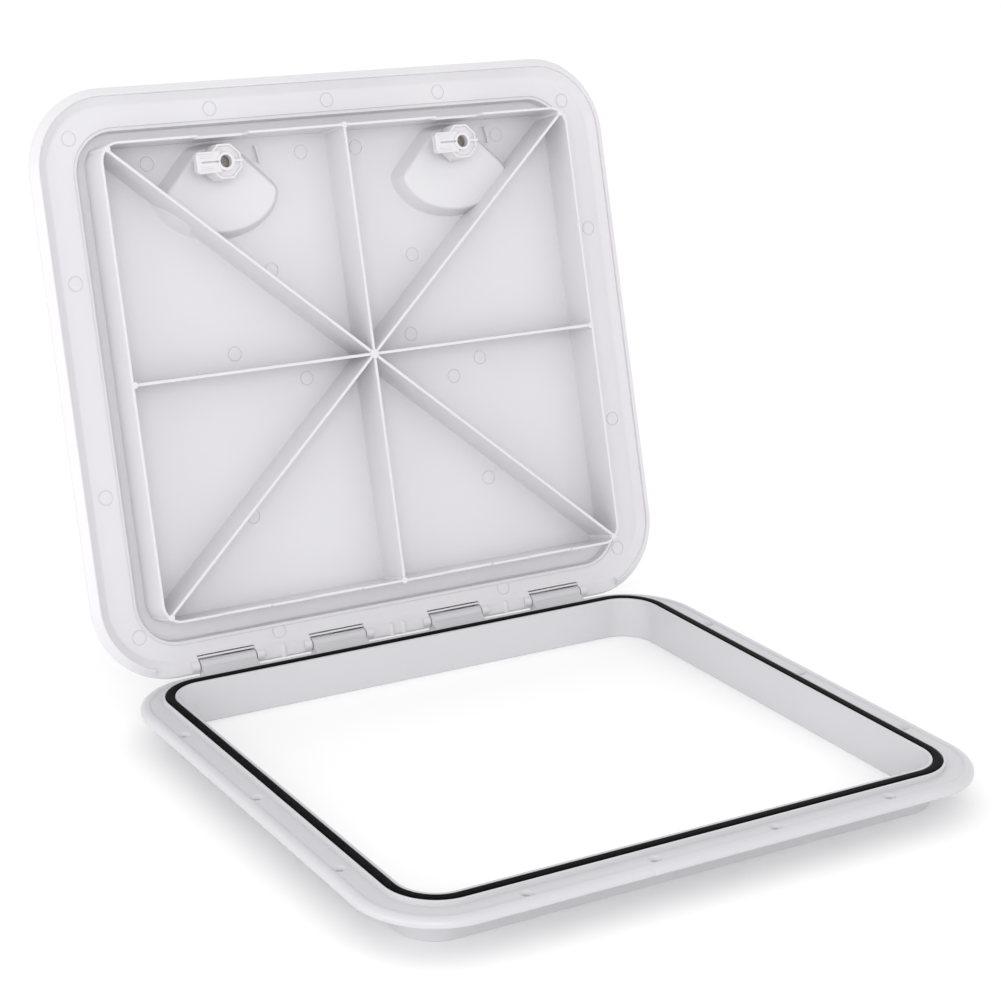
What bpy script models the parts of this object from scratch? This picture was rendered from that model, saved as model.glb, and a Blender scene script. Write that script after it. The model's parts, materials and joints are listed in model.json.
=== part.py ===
"""Moulded deck hatch: a flanged frame with a rubber gasket, and a ribbed lid on four pin hinges.

The lid carries two quarter-turn latches with lift-up handles. The origin is the middle of the opening
in the plane of the deck: x across, y towards the hinges, z up. The lid rests open on its stop nubs.
"""

import math

import bmesh
import bpy
from mathutils import Matrix, Vector

MM = 0.001

# Opening and coaming wall, measured from the centre of the opening
OPENING_X = 434.0 * MM
OPENING_Y = 384.4 * MM
OPENING_R = 26.5 * MM
WALL = 2.8 * MM
WALL_DEPTH = 24.6 * MM

# Gasket and its channel
GASKET_WIDTH = 7.0 * MM
GASKET_GAP = 0.3 * MM
GASKET_TOP = 9.9 * MM
GASKET_PROUD = 0.7 * MM
CHANNEL_FLOOR = 5.0 * MM
CHANNEL_LIP = 2.0 * MM

# Flange of the frame
FLANGE_SIDE = 20.6 * MM
FLANGE_FRONT = 19.3 * MM
FLANGE_BACK = 10.7 * MM
FLANGE_R = 59.0 * MM
BAND_TOP = 5.4 * MM
RIM_TOP = 6.5 * MM
RIM_WIDTH = 8.0 * MM
SCREW_HOLE_R = 2.6 * MM
SCREW_HEAD_R = 4.8 * MM
SCREW_INSET = 12.3 * MM
SIDE_SCREW_PITCH = 120.5 * MM
FRONT_SCREW_PITCH = 99.5 * MM

# Hinges
OPEN_ANGLE = math.radians(106.5)
HINGE_BEHIND_FLANGE = 5.6 * MM
BARREL_R = 4.9 * MM
BARREL_LENGTH = 48.4 * MM
HINGE_INNER_X = 54.8 * MM
HINGE_OUTER_X = 153.2 * MM
KNUCKLE_LENGTH = 6.5 * MM
KNUCKLE_GAP = 0.5 * MM
PIN_R = 2.0 * MM
RUNNING_GAP = 0.3 * MM

# Lid
SEAL_GAP = 0.3 * MM
SEAL_BITE = 4.2 * MM
LIP_CLEAR_SIDE = 3.7 * MM
LIP_CLEAR_FRONT = 2.5 * MM
LIP_THICKNESS = 6.3 * MM
LIP_DROP = 6.2 * MM
LID_BEHIND_HINGE = 5.7 * MM
LID_R_OVER_FLANGE = 4.5 * MM
RIM_SKIN = 3.2 * MM
PANEL_RISE = 8.7 * MM
SKIN = 3.0 * MM
PAD_WALL = 3.4 * MM
BACK_LIP_DROP = 2.5 * MM
SKIRT_CLEAR_SIDE = 5.6 * MM
SKIRT_CLEAR_FRONT = 3.4 * MM
SKIRT_CLEAR_BACK = 9.3 * MM
SKIRT_THICKNESS = 2.5 * MM
SKIRT_R = 16.0 * MM
SKIRT_DEPTH = 25.4 * MM
RIB_THICKNESS = 2.6 * MM
RIB_BELOW_RIM = 0.5 * MM
POST_R = 3.0 * MM
POST_PROUD = 0.3 * MM
STOP_NUB_X = (5.6 * MM, 104.0 * MM)
STOP_NUB_WIDTH = 5.0 * MM
STOP_NUB_DROP = 3.7 * MM
STOP_NUB_BACK = 6.2 * MM
STOP_NUB_FRONT = 3.5 * MM
BACK_GAPS = ((60.7 * MM, 23.6 * MM), (140.2 * MM, 21.6 * MM))
BACK_GAP_DEPTH = 3.0 * MM

# Latches: places from the latch axis, heights from the hinge axis, positive towards the outside
LATCH_X = 107.2 * MM
LATCH_BEHIND_SKIRT = 22.3 * MM
LATCH_TURN = math.radians(90)
DISH_HUB_R = 25.0 * MM
DISH_BOWL = (52.5 * MM, 42.0 * MM, 20.0 * MM)
DISH_DEPTH = 12.7 * MM
DISH_SLOPE = 4.0 * MM
DISH_WALL = 3.0 * MM
POCKET_FRONT = 18.0 * MM
HUB_BOSS_R = 9.0 * MM
HUB_BOSS_DROP = 3.0 * MM
SPINDLE_R = 4.7 * MM
SPINDLE_HEAD_R = 12.0 * MM
SPINDLE_HEAD = 3.0 * MM
DRIVE_SQUARE = 6.4 * MM
SEAL_SECTION_R = 0.9 * MM
SEAL_RING_R = 8.0 * MM
WASHER_THICKNESS = 1.2 * MM
WASHER_R = 8.5 * MM
CAM_FACE = 24.2 * MM
CAM_HALF = 13.9 * MM
CAM_BORE_R = 5.0 * MM
CAM_BOSS_R = 7.6 * MM
CAM_BOSS_PROUD = 0.7 * MM
CAM_WEB = 1.5 * MM
CAM_SQUARE_END = 15.3 * MM
TAB_HALF = 8.5 * MM
TAB_CHAMFER = 3.0 * MM
TAB_TOP = 18.3 * MM
TAB_CLEAR = 0.7 * MM
CAM_SCREW_R = 1.9 * MM
CAM_SCREW_HEAD_R = 4.3 * MM
CAM_SCREW_HEAD = 2.5 * MM
CAM_SCREW_END = 5.0 * MM
CATCH_THICKNESS = 2.6 * MM
CATCH_DEPTH = 5.7 * MM
CATCH_HALF = 14.0 * MM
NOTCH_HALF = 22.0 * MM

# Handles: they lie along HANDLE_ANGLE in the lid's plane and lift on a cross pin
HANDLE_ANGLE = math.radians(45)
HANDLE_LENGTH = 52.0 * MM
HANDLE_HALF = 16.0 * MM
HANDLE_OVER_HEAD = 1.2 * MM
HANDLE_BELOW_PAD = 0.5 * MM
HANDLE_ROOT = 12.0 * MM
HANDLE_STEM_HALF = 5.0 * MM
HANDLE_KNUCKLE_R = 2.9 * MM
HANDLE_PIN_R = 1.0 * MM
EAR_THICKNESS = 3.2 * MM
EAR_HEIGHT = 6.0 * MM
EAR_HALF = 4.5 * MM

ARC = 8
BIG_ROUND = 48
ROUND = 24
SMALL_ROUND = 16

# Worked-out places
CHANNEL_WIDTH = GASKET_WIDTH + 2 * GASKET_GAP
COAMING = WALL + CHANNEL_WIDTH + CHANNEL_LIP
LIP_TOP = GASKET_TOP - GASKET_PROUD
FLANGE_HALF_X = OPENING_X / 2 + COAMING + FLANGE_SIDE
FLANGE_Y0 = -(OPENING_Y / 2 + COAMING + FLANGE_FRONT)
FLANGE_Y1 = OPENING_Y / 2 + COAMING + FLANGE_BACK
HINGE_Y = FLANGE_Y1 + HINGE_BEHIND_FLANGE
HINGE_Z = GASKET_TOP + SEAL_GAP
HINGES_X = (-HINGE_OUTER_X, -HINGE_INNER_X, HINGE_INNER_X, HINGE_OUTER_X)
LATCHES = (("left", -LATCH_X), ("right", LATCH_X))

LID_HALF_X = FLANGE_HALF_X + LIP_CLEAR_SIDE + LIP_THICKNESS
LID_Y0 = FLANGE_Y0 - LIP_CLEAR_FRONT - LIP_THICKNESS - HINGE_Y
LID_R = FLANGE_R + LID_R_OVER_FLANGE
SKIRT_HALF_X = OPENING_X / 2 - SKIRT_CLEAR_SIDE
SKIRT_Y0 = -(OPENING_Y / 2 - SKIRT_CLEAR_FRONT) - HINGE_Y
SKIRT_Y1 = OPENING_Y / 2 - SKIRT_CLEAR_BACK - HINGE_Y
PAD_TOP = PANEL_RISE + SKIN
LATCH_Y = SKIRT_Y0 + LATCH_BEHIND_SKIRT
DISH_FLOOR = PAD_TOP - DISH_DEPTH
DISH_UNDER = DISH_FLOOR - DISH_WALL
BOSS_END = DISH_UNDER - HUB_BOSS_DROP
WASHER_END = BOSS_END - RUNNING_GAP - WASHER_THICKNESS
CAM_TOP = WASHER_END - RUNNING_GAP
SEAL_Z = DISH_FLOOR + RUNNING_GAP + SEAL_SECTION_R
HEAD_BOTTOM = SEAL_Z + SEAL_SECTION_R + RUNNING_GAP
HEAD_TOP = HEAD_BOTTOM + SPINDLE_HEAD
EAR_TOP = HEAD_TOP + EAR_HEIGHT
HANDLE_PIVOT = HEAD_TOP + RUNNING_GAP + HANDLE_KNUCKLE_R
HANDLE_BOTTOM = HEAD_TOP + HANDLE_OVER_HEAD
HANDLE_TOP = PAD_TOP - HANDLE_BELOW_PAD
SPINDLE_END = -CAM_SQUARE_END + RUNNING_GAP
SCREW_SEAT = -(CAM_SQUARE_END + CAM_WEB)
WALL_FROM_LATCH = (LATCH_Y + HINGE_Y) + OPENING_Y / 2
TAB_REACH = WALL_FROM_LATCH - TAB_CLEAR
CATCH_LOW = HINGE_Z - TAB_TOP + RUNNING_GAP
NOTCH_FLOOR = HINGE_Z - (CATCH_LOW + CATCH_THICKNESS + 2 * RUNNING_GAP)


def clear_scene():
    for obj in list(bpy.data.objects):
        bpy.data.objects.remove(obj, do_unlink=True)


def material(name, rgb, roughness, metallic=0.0):
    made = bpy.data.materials.new(name)
    made.use_nodes = True
    shader = made.node_tree.nodes["Principled BSDF"]
    shader.inputs["Base Color"].default_value = (*rgb, 1)
    shader.inputs["Roughness"].default_value = roughness
    shader.inputs["Metallic"].default_value = metallic
    made.diffuse_color = (*rgb, 1)
    return made


def empty(name, location, parent, rotation=(0, 0, 0)):
    made = bpy.data.objects.new(name, None)
    made.location = location
    made.rotation_euler = rotation
    made.parent = parent
    bpy.context.collection.objects.link(made)
    return made


def add_object(name, bm, finish, parent, smooth=True):
    """A named object from a closed bmesh, with its faces pointing out."""
    bmesh.ops.recalc_face_normals(bm, faces=bm.faces)
    if bm.calc_volume(signed=True) < 0:
        bmesh.ops.reverse_faces(bm, faces=bm.faces)
    mesh = bpy.data.meshes.new(name)
    bm.to_mesh(mesh)
    bm.free()
    if finish:
        mesh.materials.append(finish)
    if smooth:
        mesh.shade_smooth()
        mesh.set_sharp_from_angle(angle=math.radians(30))
    obj = bpy.data.objects.new(name, mesh)
    obj.parent = parent
    bpy.context.collection.objects.link(obj)
    return obj


def boolean(target, name, shapes, operation):
    """Joins or cuts target with closed shapes, which stay in the scene as one hidden helper."""
    joined = bmesh.new()
    for shape in shapes:
        bmesh.ops.recalc_face_normals(shape, faces=shape.faces)
        if shape.calc_volume(signed=True) < 0:
            bmesh.ops.reverse_faces(shape, faces=shape.faces)
        piece = bpy.data.meshes.new(name)
        shape.to_mesh(piece)
        shape.free()
        joined.from_mesh(piece)
        bpy.data.meshes.remove(piece)
    mesh = bpy.data.meshes.new(name)
    joined.to_mesh(mesh)
    joined.free()
    helper = bpy.data.objects.new(name, mesh)
    helper.parent = target.parent
    helper.hide_render = True
    helper.display_type = "WIRE"
    bpy.context.collection.objects.link(helper)
    modifier = target.modifiers.new(name, "BOOLEAN")
    modifier.operation = operation
    modifier.solver = "EXACT"
    modifier.use_self = len(shapes) > 1
    modifier.object = helper


def rounded_ring(half_x, y0, y1, radius, z):
    """Points round a rectangle with round corners, at height z."""
    corners = (
        (half_x - radius, y1 - radius, 0),
        (radius - half_x, y1 - radius, 90),
        (radius - half_x, y0 + radius, 180),
        (half_x - radius, y0 + radius, 270),
    )
    points = []
    for cx, cy, start in corners:
        for step in range(ARC + 1):
            angle = math.radians(start + 90 * step / ARC)
            points.append(Vector((cx + radius * math.cos(angle), cy + radius * math.sin(angle), z)))
    return points


def loft(rings, closed):
    """Walls between rings of equal point counts: a closed ring of rings, or capped at both ends."""
    bm = bmesh.new()
    rows = [[bm.verts.new(point) for point in ring] for ring in rings]
    pairs = list(zip(rows, rows[1:]))
    if closed:
        pairs.append((rows[-1], rows[0]))
    else:
        bm.faces.new(rows[0])
        bm.faces.new(rows[-1])
    for low, high in pairs:
        for i in range(len(low)):
            j = (i + 1) % len(low)
            bm.faces.new((low[i], low[j], high[j], high[i]))
    return bm


def box(low, high):
    bm = bmesh.new()
    bmesh.ops.create_cube(bm, size=1)
    size = [b - a for a, b in zip(low, high)]
    centre = [(a + b) / 2 for a, b in zip(low, high)]
    bmesh.ops.scale(bm, verts=bm.verts, vec=size)
    bmesh.ops.translate(bm, verts=bm.verts, vec=centre)
    return bm


def rod(start, end, r1, r2=None, sides=ROUND):
    """A round bar, or a cone, between two points."""
    start, end = Vector(start), Vector(end)
    along = end - start
    turn = along.to_track_quat("Z", "Y").to_matrix().to_4x4()
    bm = bmesh.new()
    bmesh.ops.create_cone(
        bm, cap_ends=True, segments=sides, radius1=r1, radius2=r1 if r2 is None else r2,
        depth=along.length, matrix=Matrix.Translation((start + end) / 2) @ turn,
    )
    return bm


def tube(z0, z1, inner, outer, sides=BIG_ROUND):
    rings = [
        [Vector((r * math.cos(a), r * math.sin(a), z)) for a in circle_angles(sides)]
        for r, z in ((inner, z0), (outer, z0), (outer, z1), (inner, z1))
    ]
    return loft(rings, True)


def circle_angles(sides):
    return [2 * math.pi * i / sides for i in range(sides)]


def prism(outline, z0, z1):
    return loft([[Vector((x, y, z)) for x, y in outline] for z in (z0, z1)], False)


def moved(bm, matrix):
    bmesh.ops.transform(bm, matrix=matrix, verts=bm.verts)
    return bm


def opening_ring(outward, z):
    """A ring that runs a set distance outside the opening."""
    half_y = OPENING_Y / 2 + outward
    return rounded_ring(OPENING_X / 2 + outward, -half_y, half_y, OPENING_R + outward, z)


def flange_ring(inward, z):
    return rounded_ring(
        FLANGE_HALF_X - inward, FLANGE_Y0 + inward, FLANGE_Y1 - inward, FLANGE_R - inward, z
    )


def frame_body():
    """One closed section swept round: wall, flange, rolled rim, screw band, lip, channel and lip."""
    lip_out = WALL + CHANNEL_WIDTH + CHANNEL_LIP
    channel_out = WALL + CHANNEL_WIDTH
    draft = 0.3 * MM
    return loft(
        [
            opening_ring(0, -WALL_DEPTH),
            opening_ring(WALL, -WALL_DEPTH),
            opening_ring(WALL, 0),
            flange_ring(0.6 * MM, 0),
            flange_ring(0, 0.8 * MM),
            flange_ring(0, 2.8 * MM),
            flange_ring(0.9 * MM, 4.9 * MM),
            flange_ring(2.8 * MM, RIM_TOP - 0.2 * MM),
            flange_ring(4.8 * MM, RIM_TOP),
            flange_ring(RIM_WIDTH, BAND_TOP),
            opening_ring(lip_out, BAND_TOP),
            opening_ring(lip_out - draft, LIP_TOP - 0.5 * MM),
            opening_ring(lip_out - draft - 0.4 * MM, LIP_TOP),
            opening_ring(channel_out, LIP_TOP),
            opening_ring(channel_out, CHANNEL_FLOOR),
            opening_ring(WALL, CHANNEL_FLOOR),
            opening_ring(WALL, LIP_TOP),
            opening_ring(0.6 * MM, LIP_TOP),
            opening_ring(0, LIP_TOP - 0.8 * MM),
        ],
        True,
    )


def screw_places():
    middle = (FLANGE_Y0 + FLANGE_Y1) / 2
    side_x = FLANGE_HALF_X - SCREW_INSET
    sides = [(s * side_x, middle + i * SIDE_SCREW_PITCH) for s in (-1, 1) for i in (-1, 0, 1)]
    front = [(i * FRONT_SCREW_PITCH, FLANGE_Y0 + SCREW_INSET) for i in (-1.5, -0.5, 0.5, 1.5)]
    return sides + front


def screw_cutters():
    cutters = []
    sink = SCREW_HEAD_R - SCREW_HOLE_R
    above = 1.0 * MM
    for x, y in screw_places():
        cutters.append(rod((x, y, -above), (x, y, BAND_TOP + above), SCREW_HOLE_R, sides=SMALL_ROUND))
        cutters.append(
            rod((x, y, BAND_TOP - sink), (x, y, BAND_TOP + above), SCREW_HOLE_R, SCREW_HEAD_R + above,
                SMALL_ROUND)
        )
    return cutters


def hinge_lugs():
    """Barrels on the frame, each on a lug that grows out of the back of the flange."""
    shapes = []
    for x in HINGES_X:
        x0, x1 = x - BARREL_LENGTH / 2, x + BARREL_LENGTH / 2
        shapes.append(rod((x0, HINGE_Y, HINGE_Z), (x1, HINGE_Y, HINGE_Z), BARREL_R))
        outline = (
            (FLANGE_Y1 - 6.0 * MM, 1.5 * MM),
            (HINGE_Y, 1.5 * MM),
            (HINGE_Y, HINGE_Z),
            (HINGE_Y - 2.0 * MM, HINGE_Z + 4.3 * MM),
            (HINGE_Y - BARREL_R * 0.9, HINGE_Z + 0.4 * MM),
            (FLANGE_Y1 - 6.0 * MM, HINGE_Z - 3.4 * MM),
        )
        lug = loft([[Vector((end, y, z)) for y, z in outline] for end in (x0, x1)], False)
        shapes.append(lug)
    return shapes


def catches():
    """A ledge inside the front wall for each latch tab."""
    wall_y = -OPENING_Y / 2
    return [
        box((x - CATCH_HALF, wall_y - WALL / 2, CATCH_LOW),
            (x + CATCH_HALF, wall_y + CATCH_DEPTH, CATCH_LOW + CATCH_THICKNESS))
        for _, x in LATCHES
    ]


def hinge_bores(reach, radius):
    return [
        rod((x - reach, 0, 0), (x + reach, 0, 0), radius, sides=SMALL_ROUND) for x in HINGES_X
    ]


def make_frame(finish):
    frame = add_object("frame", frame_body(), finish, None)
    boolean(frame, "frame_additions", hinge_lugs() + catches(), "UNION")
    bores = [moved(b, Matrix.Translation((0, HINGE_Y, HINGE_Z)))
             for b in hinge_bores(BARREL_LENGTH, PIN_R + RUNNING_GAP)]
    boolean(frame, "frame_cuts", screw_cutters() + bores, "DIFFERENCE")


def make_gasket(finish):
    inner = WALL + GASKET_GAP
    outer = inner + GASKET_WIDTH
    low = CHANNEL_FLOOR + GASKET_GAP
    edge = 0.9 * MM
    rings = [
        opening_ring(inner, low),
        opening_ring(outer, low),
        opening_ring(outer, GASKET_TOP - edge),
        opening_ring(outer - edge, GASKET_TOP),
        opening_ring(inner + edge, GASKET_TOP),
        opening_ring(inner, GASKET_TOP - edge),
    ]
    add_object("gasket", loft(rings, True), finish, None)


def lid_ring(inward, z):
    return rounded_ring(LID_HALF_X - inward, LID_Y0 + inward, LID_BEHIND_HINGE - inward,
                        LID_R - inward, z)


def recess_ring(outward, z):
    """A ring set by the gasket: where the lid's flat rim ends and its raised panel begins."""
    offset = WALL + GASKET_GAP + GASKET_WIDTH - SEAL_BITE + outward
    half_y = OPENING_Y / 2 + offset
    return rounded_ring(OPENING_X / 2 + offset, -half_y - HINGE_Y, half_y - HINGE_Y,
                        OPENING_R + offset, z)


def lid_shell():
    """The outer skin: raised panel, flat rim that meets the gasket, and the lip round its edge."""
    rings = [
        recess_ring(-0.8 * MM, PANEL_RISE),
        recess_ring(0, 0),
        lid_ring(LIP_THICKNESS, 0),
        lid_ring(LIP_THICKNESS - 0.4 * MM, -LIP_DROP),
        lid_ring(1.2 * MM, -LIP_DROP),
        lid_ring(0, 1.2 * MM - LIP_DROP),
        lid_ring(0, 0.6 * MM),
        lid_ring(1.0 * MM, 2.3 * MM),
        lid_ring(3.2 * MM, RIM_SKIN),
        recess_ring(PAD_WALL + 2.4 * MM, RIM_SKIN),
        recess_ring(PAD_WALL, PAD_TOP - 1.2 * MM),
        recess_ring(PAD_WALL - 1.4 * MM, PAD_TOP),
    ]
    return loft(rings, False)


def skirt():
    def ring(inward, z):
        return rounded_ring(SKIRT_HALF_X - inward, SKIRT_Y0 + inward, SKIRT_Y1 - inward,
                            SKIRT_R - inward, z)

    top = PANEL_RISE + SKIN / 2
    return loft([ring(0, top), ring(0, -SKIRT_DEPTH), ring(SKIRT_THICKNESS, -SKIRT_DEPTH),
                 ring(SKIRT_THICKNESS, top)], True)


def rib_ends():
    """The eight points on the skirt where the ribs end, at the sides' middles and in the corners."""
    x = SKIRT_HALF_X - SKIRT_THICKNESS
    y0, y1 = SKIRT_Y0 + SKIRT_THICKNESS, SKIRT_Y1 - SKIRT_THICKNESS
    middle = (y0 + y1) / 2
    corner = (SKIRT_R - SKIRT_THICKNESS) * (1 - math.sqrt(0.5))
    corners = [(sx * (x - corner), y) for sx in (-1, 1) for y in (y0 + corner, y1 - corner)]
    return (0, middle), [(x, middle), (-x, middle), (0, y0), (0, y1)] + corners


def ribs():
    (cx, cy), ends = rib_ends()
    low, high = RIB_BELOW_RIM - SKIRT_DEPTH, PANEL_RISE + SKIN / 2
    shapes = [rod((cx, cy, -SKIRT_DEPTH - POST_PROUD), (cx, cy, high), POST_R + 1.0 * MM)]
    for x, y in ends:
        length = math.hypot(x - cx, y - cy)
        rib = box((0, -RIB_THICKNESS / 2, low), (length, RIB_THICKNESS / 2, high))
        turn = Matrix.Rotation(math.atan2(y - cy, x - cx), 4, "Z")
        shapes.append(moved(rib, Matrix.Translation((cx, cy, 0)) @ turn))
        shapes.append(rod((x, y, -SKIRT_DEPTH - POST_PROUD), (x, y, high), POST_R, sides=SMALL_ROUND))
    return shapes


def dish_outline(outward, front):
    """The fan-shaped latch dish: a round hub, two straight sides at 45 degrees, and a wide bowl."""
    a, b, drop = (DISH_BOWL[0] + outward, DISH_BOWL[1] + outward, DISH_BOWL[2])
    side = DISH_HUB_R + outward
    outline = []
    for angle in circle_angles(BIG_ROUND):
        c, s = math.cos(angle), math.sin(angle)
        # Distance along this ray to the bowl's ellipse, whose centre lies at (0, drop)
        p = (c / a) ** 2 + (s / b) ** 2
        q = s * drop / b**2
        reach = (q + math.sqrt(q * q - p * (drop**2 / b**2 - 1))) / p
        for edge in (-1, 1):
            across = (edge * c - s) * math.sqrt(0.5)
            if across > 0:
                reach = min(reach, side / across)
        if s < -math.sqrt(0.5):
            reach = side
        if s < 0:
            reach = min(reach, front / -s)
        outline.append((reach * c, reach * s))
    return outline


def dish_loft(x, levels):
    rings = [
        [Vector((x + px, LATCH_Y + py, z)) for px, py in dish_outline(outward, front)]
        for outward, front, z in levels
    ]
    return loft(rings, False)


def latch_dishes():
    """Under each latch the skin drops in a fan-shaped dish, with a boss round the spindle."""
    front = LATCH_BEHIND_SKIRT - SKIRT_THICKNESS / 2
    shapes = []
    for _, x in LATCHES:
        shapes.append(dish_loft(x, (
            (DISH_SLOPE, front, PANEL_RISE + SKIN / 2),
            (0, front, DISH_UNDER + 1.0 * MM),
            (-1.0 * MM, front - 0.2 * MM, DISH_UNDER),
        )))
        shapes.append(rod((x, LATCH_Y, BOSS_END), (x, LATCH_Y, DISH_FLOOR - 0.5 * MM), HUB_BOSS_R))
        shapes.append(stop_ridge(x))
    return shapes


def stop_ridge(x):
    """A small curved ridge on the panel beside each latch."""
    radius, width, half_angle = 41.0 * MM, 1.6 * MM, math.radians(9)
    start = math.radians(-9)
    outline = []
    for r, way in ((radius, 1), (radius + width, -1)):
        for step in range(-3, 4):
            angle = start + way * half_angle * step / 3
            outline.append((x + r * math.cos(angle), LATCH_Y + r * math.sin(angle)))
    return prism(outline, PANEL_RISE - 4.0 * MM, PANEL_RISE + SKIN / 2)


def dish_pockets():
    inward = DISH_WALL
    cut = []
    for _, x in LATCHES:
        cut.append(dish_loft(x, (
            (-inward - 1.0 * MM, POCKET_FRONT - 1.0 * MM, DISH_FLOOR),
            (-inward, POCKET_FRONT, DISH_FLOOR + 1.0 * MM),
            (1.0 * MM - inward, POCKET_FRONT + 0.6 * MM, PAD_TOP + 1.0 * MM),
        )))
        cut.append(rod((x, LATCH_Y, BOSS_END - 1.0 * MM), (x, LATCH_Y, DISH_FLOOR + 0.5 * MM),
                       SPINDLE_R + RUNNING_GAP))
    return cut


def knuckles_and_nubs():
    """Two knuckles beside each barrel, and four nubs that meet the flange when the lid is open."""
    shapes = []
    for x in HINGES_X:
        for side in (-1, 1):
            near = x + side * (BARREL_LENGTH / 2 + KNUCKLE_GAP)
            far = near + side * KNUCKLE_LENGTH
            shapes.append(rod((near, 0, 0), (far, 0, 0), BARREL_R))
    for x in STOP_NUB_X:
        for side in (-1, 1):
            middle = side * x
            half = STOP_NUB_WIDTH / 2
            shapes.append(box((middle - half, -STOP_NUB_FRONT, -STOP_NUB_DROP),
                              (middle + half, STOP_NUB_BACK, RIM_SKIN / 2)))
    return shapes


def hinge_windows():
    """Room for the frame's barrels, and a shallower lip along the back, where it turns past the flange."""
    beyond = LIP_THICKNESS + LID_BEHIND_HINGE
    cuts = [
        box((x - BARREL_LENGTH / 2 - KNUCKLE_GAP, -BARREL_R - 1.1 * MM, -beyond),
            (x + BARREL_LENGTH / 2 + KNUCKLE_GAP, beyond, beyond))
        for x in HINGES_X
    ]
    straight = LID_HALF_X - 45.0 * MM
    cuts.append(box((-straight, -beyond, -beyond), (straight, beyond, -BACK_LIP_DROP)))
    return cuts


def skirt_notches():
    """Openings in the skirt's rim: one for each latch tab, and four shallow ones along the hinges."""
    low = -SKIRT_DEPTH - 1.0 * MM
    depth = SKIRT_THICKNESS + 1.5 * MM
    cuts = [
        box((x - NOTCH_HALF, SKIRT_Y0 - 1.0 * MM, low), (x + NOTCH_HALF, SKIRT_Y0 + depth, -NOTCH_FLOOR))
        for _, x in LATCHES
    ]
    for middle, half in BACK_GAPS:
        for side in (-1, 1):
            x = side * middle
            cuts.append(box((x - half, SKIRT_Y1 - depth, low),
                            (x + half, SKIRT_Y1 + 1.0 * MM, BACK_GAP_DEPTH - SKIRT_DEPTH)))
    return cuts


def make_lid(hinge, finish):
    lid = add_object("lid", lid_shell(), finish, hinge)
    boolean(lid, "lid_hinge_windows", hinge_windows(), "DIFFERENCE")
    boolean(lid, "lid_ribs", [skirt(), *ribs()], "UNION")
    boolean(lid, "lid_dishes", latch_dishes() + knuckles_and_nubs(), "UNION")
    boolean(lid, "lid_pockets", dish_pockets() + skirt_notches(), "DIFFERENCE")
    reach = BARREL_LENGTH / 2 + KNUCKLE_GAP + KNUCKLE_LENGTH + 1.0 * MM
    boolean(lid, "lid_pin_bores", hinge_bores(reach, PIN_R + RUNNING_GAP), "DIFFERENCE")


def make_hinge_pins(hinge, finish):
    half = BARREL_LENGTH / 2 + KNUCKLE_GAP + KNUCKLE_LENGTH
    for number, x in enumerate(HINGES_X, 1):
        pin = rod((x - half, 0, 0), (x + half, 0, 0), PIN_R, sides=SMALL_ROUND)
        add_object(f"hinge_pin_{number}", pin, finish, hinge)


def make_spindle(side, axis, finish):
    """Head disc with two ears in the dish, a round shank through the lid, and a square drive."""
    spindle = add_object(
        f"latch_spindle_{side}",
        rod((0, 0, HEAD_BOTTOM), (0, 0, HEAD_TOP), SPINDLE_HEAD_R, sides=BIG_ROUND), finish, axis,
    )
    half = DRIVE_SQUARE / 2
    inner = HANDLE_STEM_HALF + RUNNING_GAP
    turn = Matrix.Rotation(HANDLE_ANGLE, 4, "Z")
    ears = [
        moved(box((-EAR_HALF, min(s * inner, s * (inner + EAR_THICKNESS)), HEAD_TOP - 0.5 * MM),
                  (EAR_HALF, max(s * inner, s * (inner + EAR_THICKNESS)), EAR_TOP)), turn)
        for s in (-1, 1)
    ]
    shank = [
        rod((0, 0, CAM_TOP + RUNNING_GAP), (0, 0, HEAD_BOTTOM + 0.5 * MM), SPINDLE_R),
        box((-half, -half, SPINDLE_END), (half, half, HEAD_BOTTOM + 0.4 * MM)),
    ]
    boolean(spindle, f"spindle_{side}_additions", ears + shank, "UNION")
    reach = inner + EAR_THICKNESS + 1.0 * MM
    holes = [
        rod((0, 0, SPINDLE_END - 1.0 * MM), (0, 0, -CAM_SCREW_END + RUNNING_GAP),
            CAM_SCREW_R + RUNNING_GAP, sides=SMALL_ROUND),
        moved(rod((0, -reach, HANDLE_PIVOT), (0, reach, HANDLE_PIVOT), HANDLE_PIN_R + RUNNING_GAP,
                  sides=SMALL_ROUND), turn),
    ]
    boolean(spindle, f"spindle_{side}_holes", holes, "DIFFERENCE")


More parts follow.
